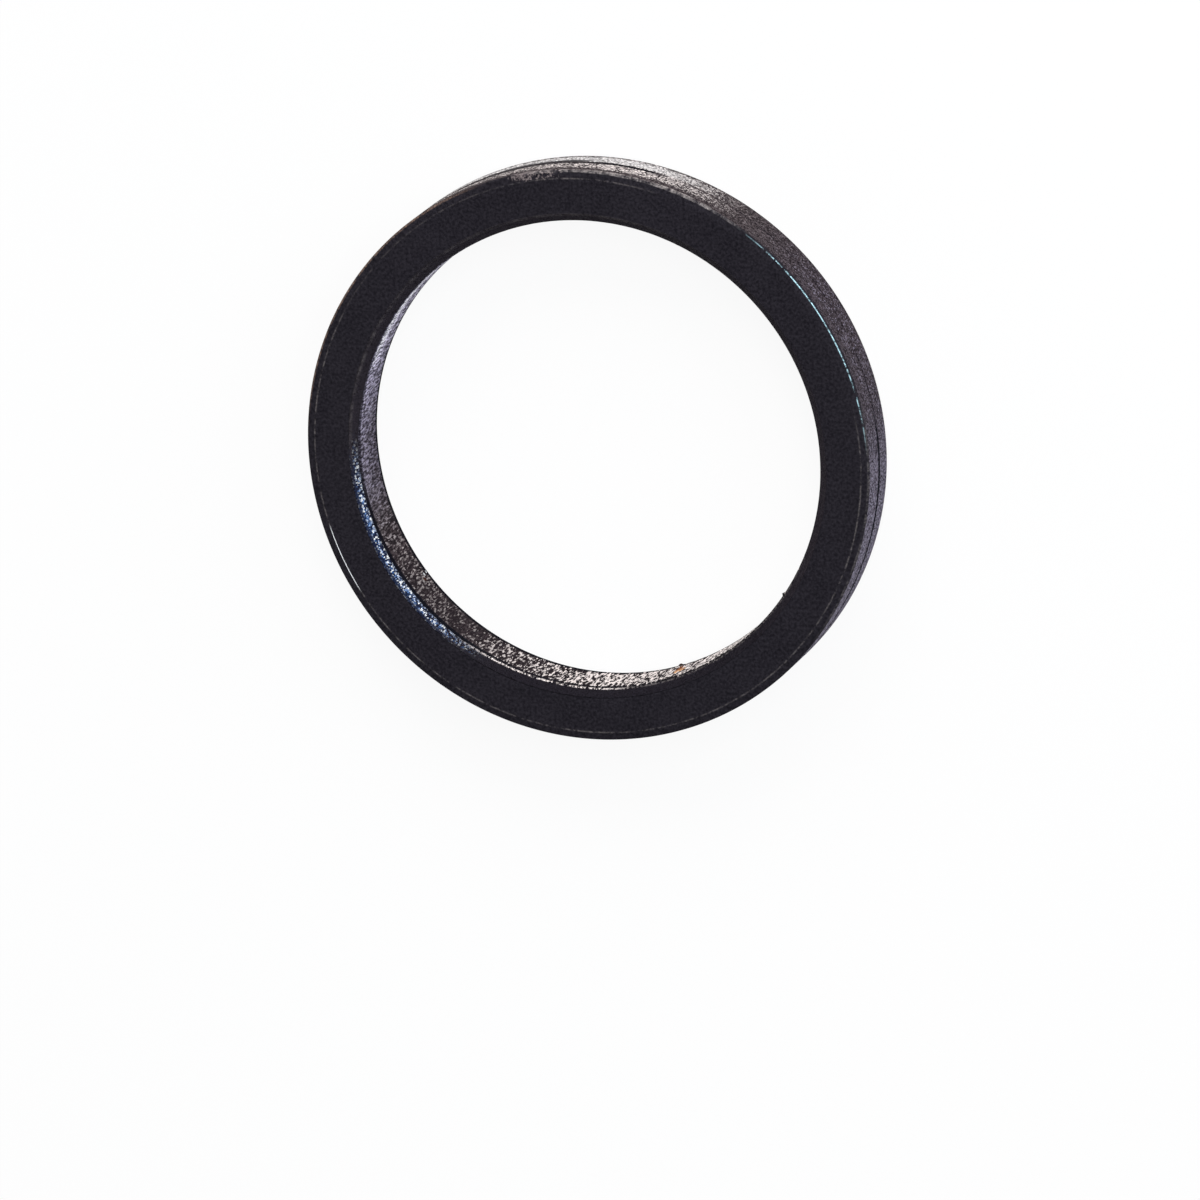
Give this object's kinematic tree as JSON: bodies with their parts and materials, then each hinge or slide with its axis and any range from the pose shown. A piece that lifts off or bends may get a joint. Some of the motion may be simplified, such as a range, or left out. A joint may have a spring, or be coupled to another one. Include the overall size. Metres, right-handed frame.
{
  "type": "crush washer",
  "caption": "Flat black steel ring washer with broken bore edges, a shallow bevel round each face and a fine line round the rim.",
  "frame": {"origin": "centre of the lower face, where the washer rests", "axes": "+Z along the bore, from the lower face to the upper face; X and Y are alike, because the washer is round"},
  "size_m": [0.0198, 0.0198, 0.0023],
  "materials": {
    "black_steel": "matte black phosphate on mild steel, rough on the bore and rim walls"
  },
  "bodies": {
    "root": {"washer": "black_steel"}
  },
  "joints": []
}
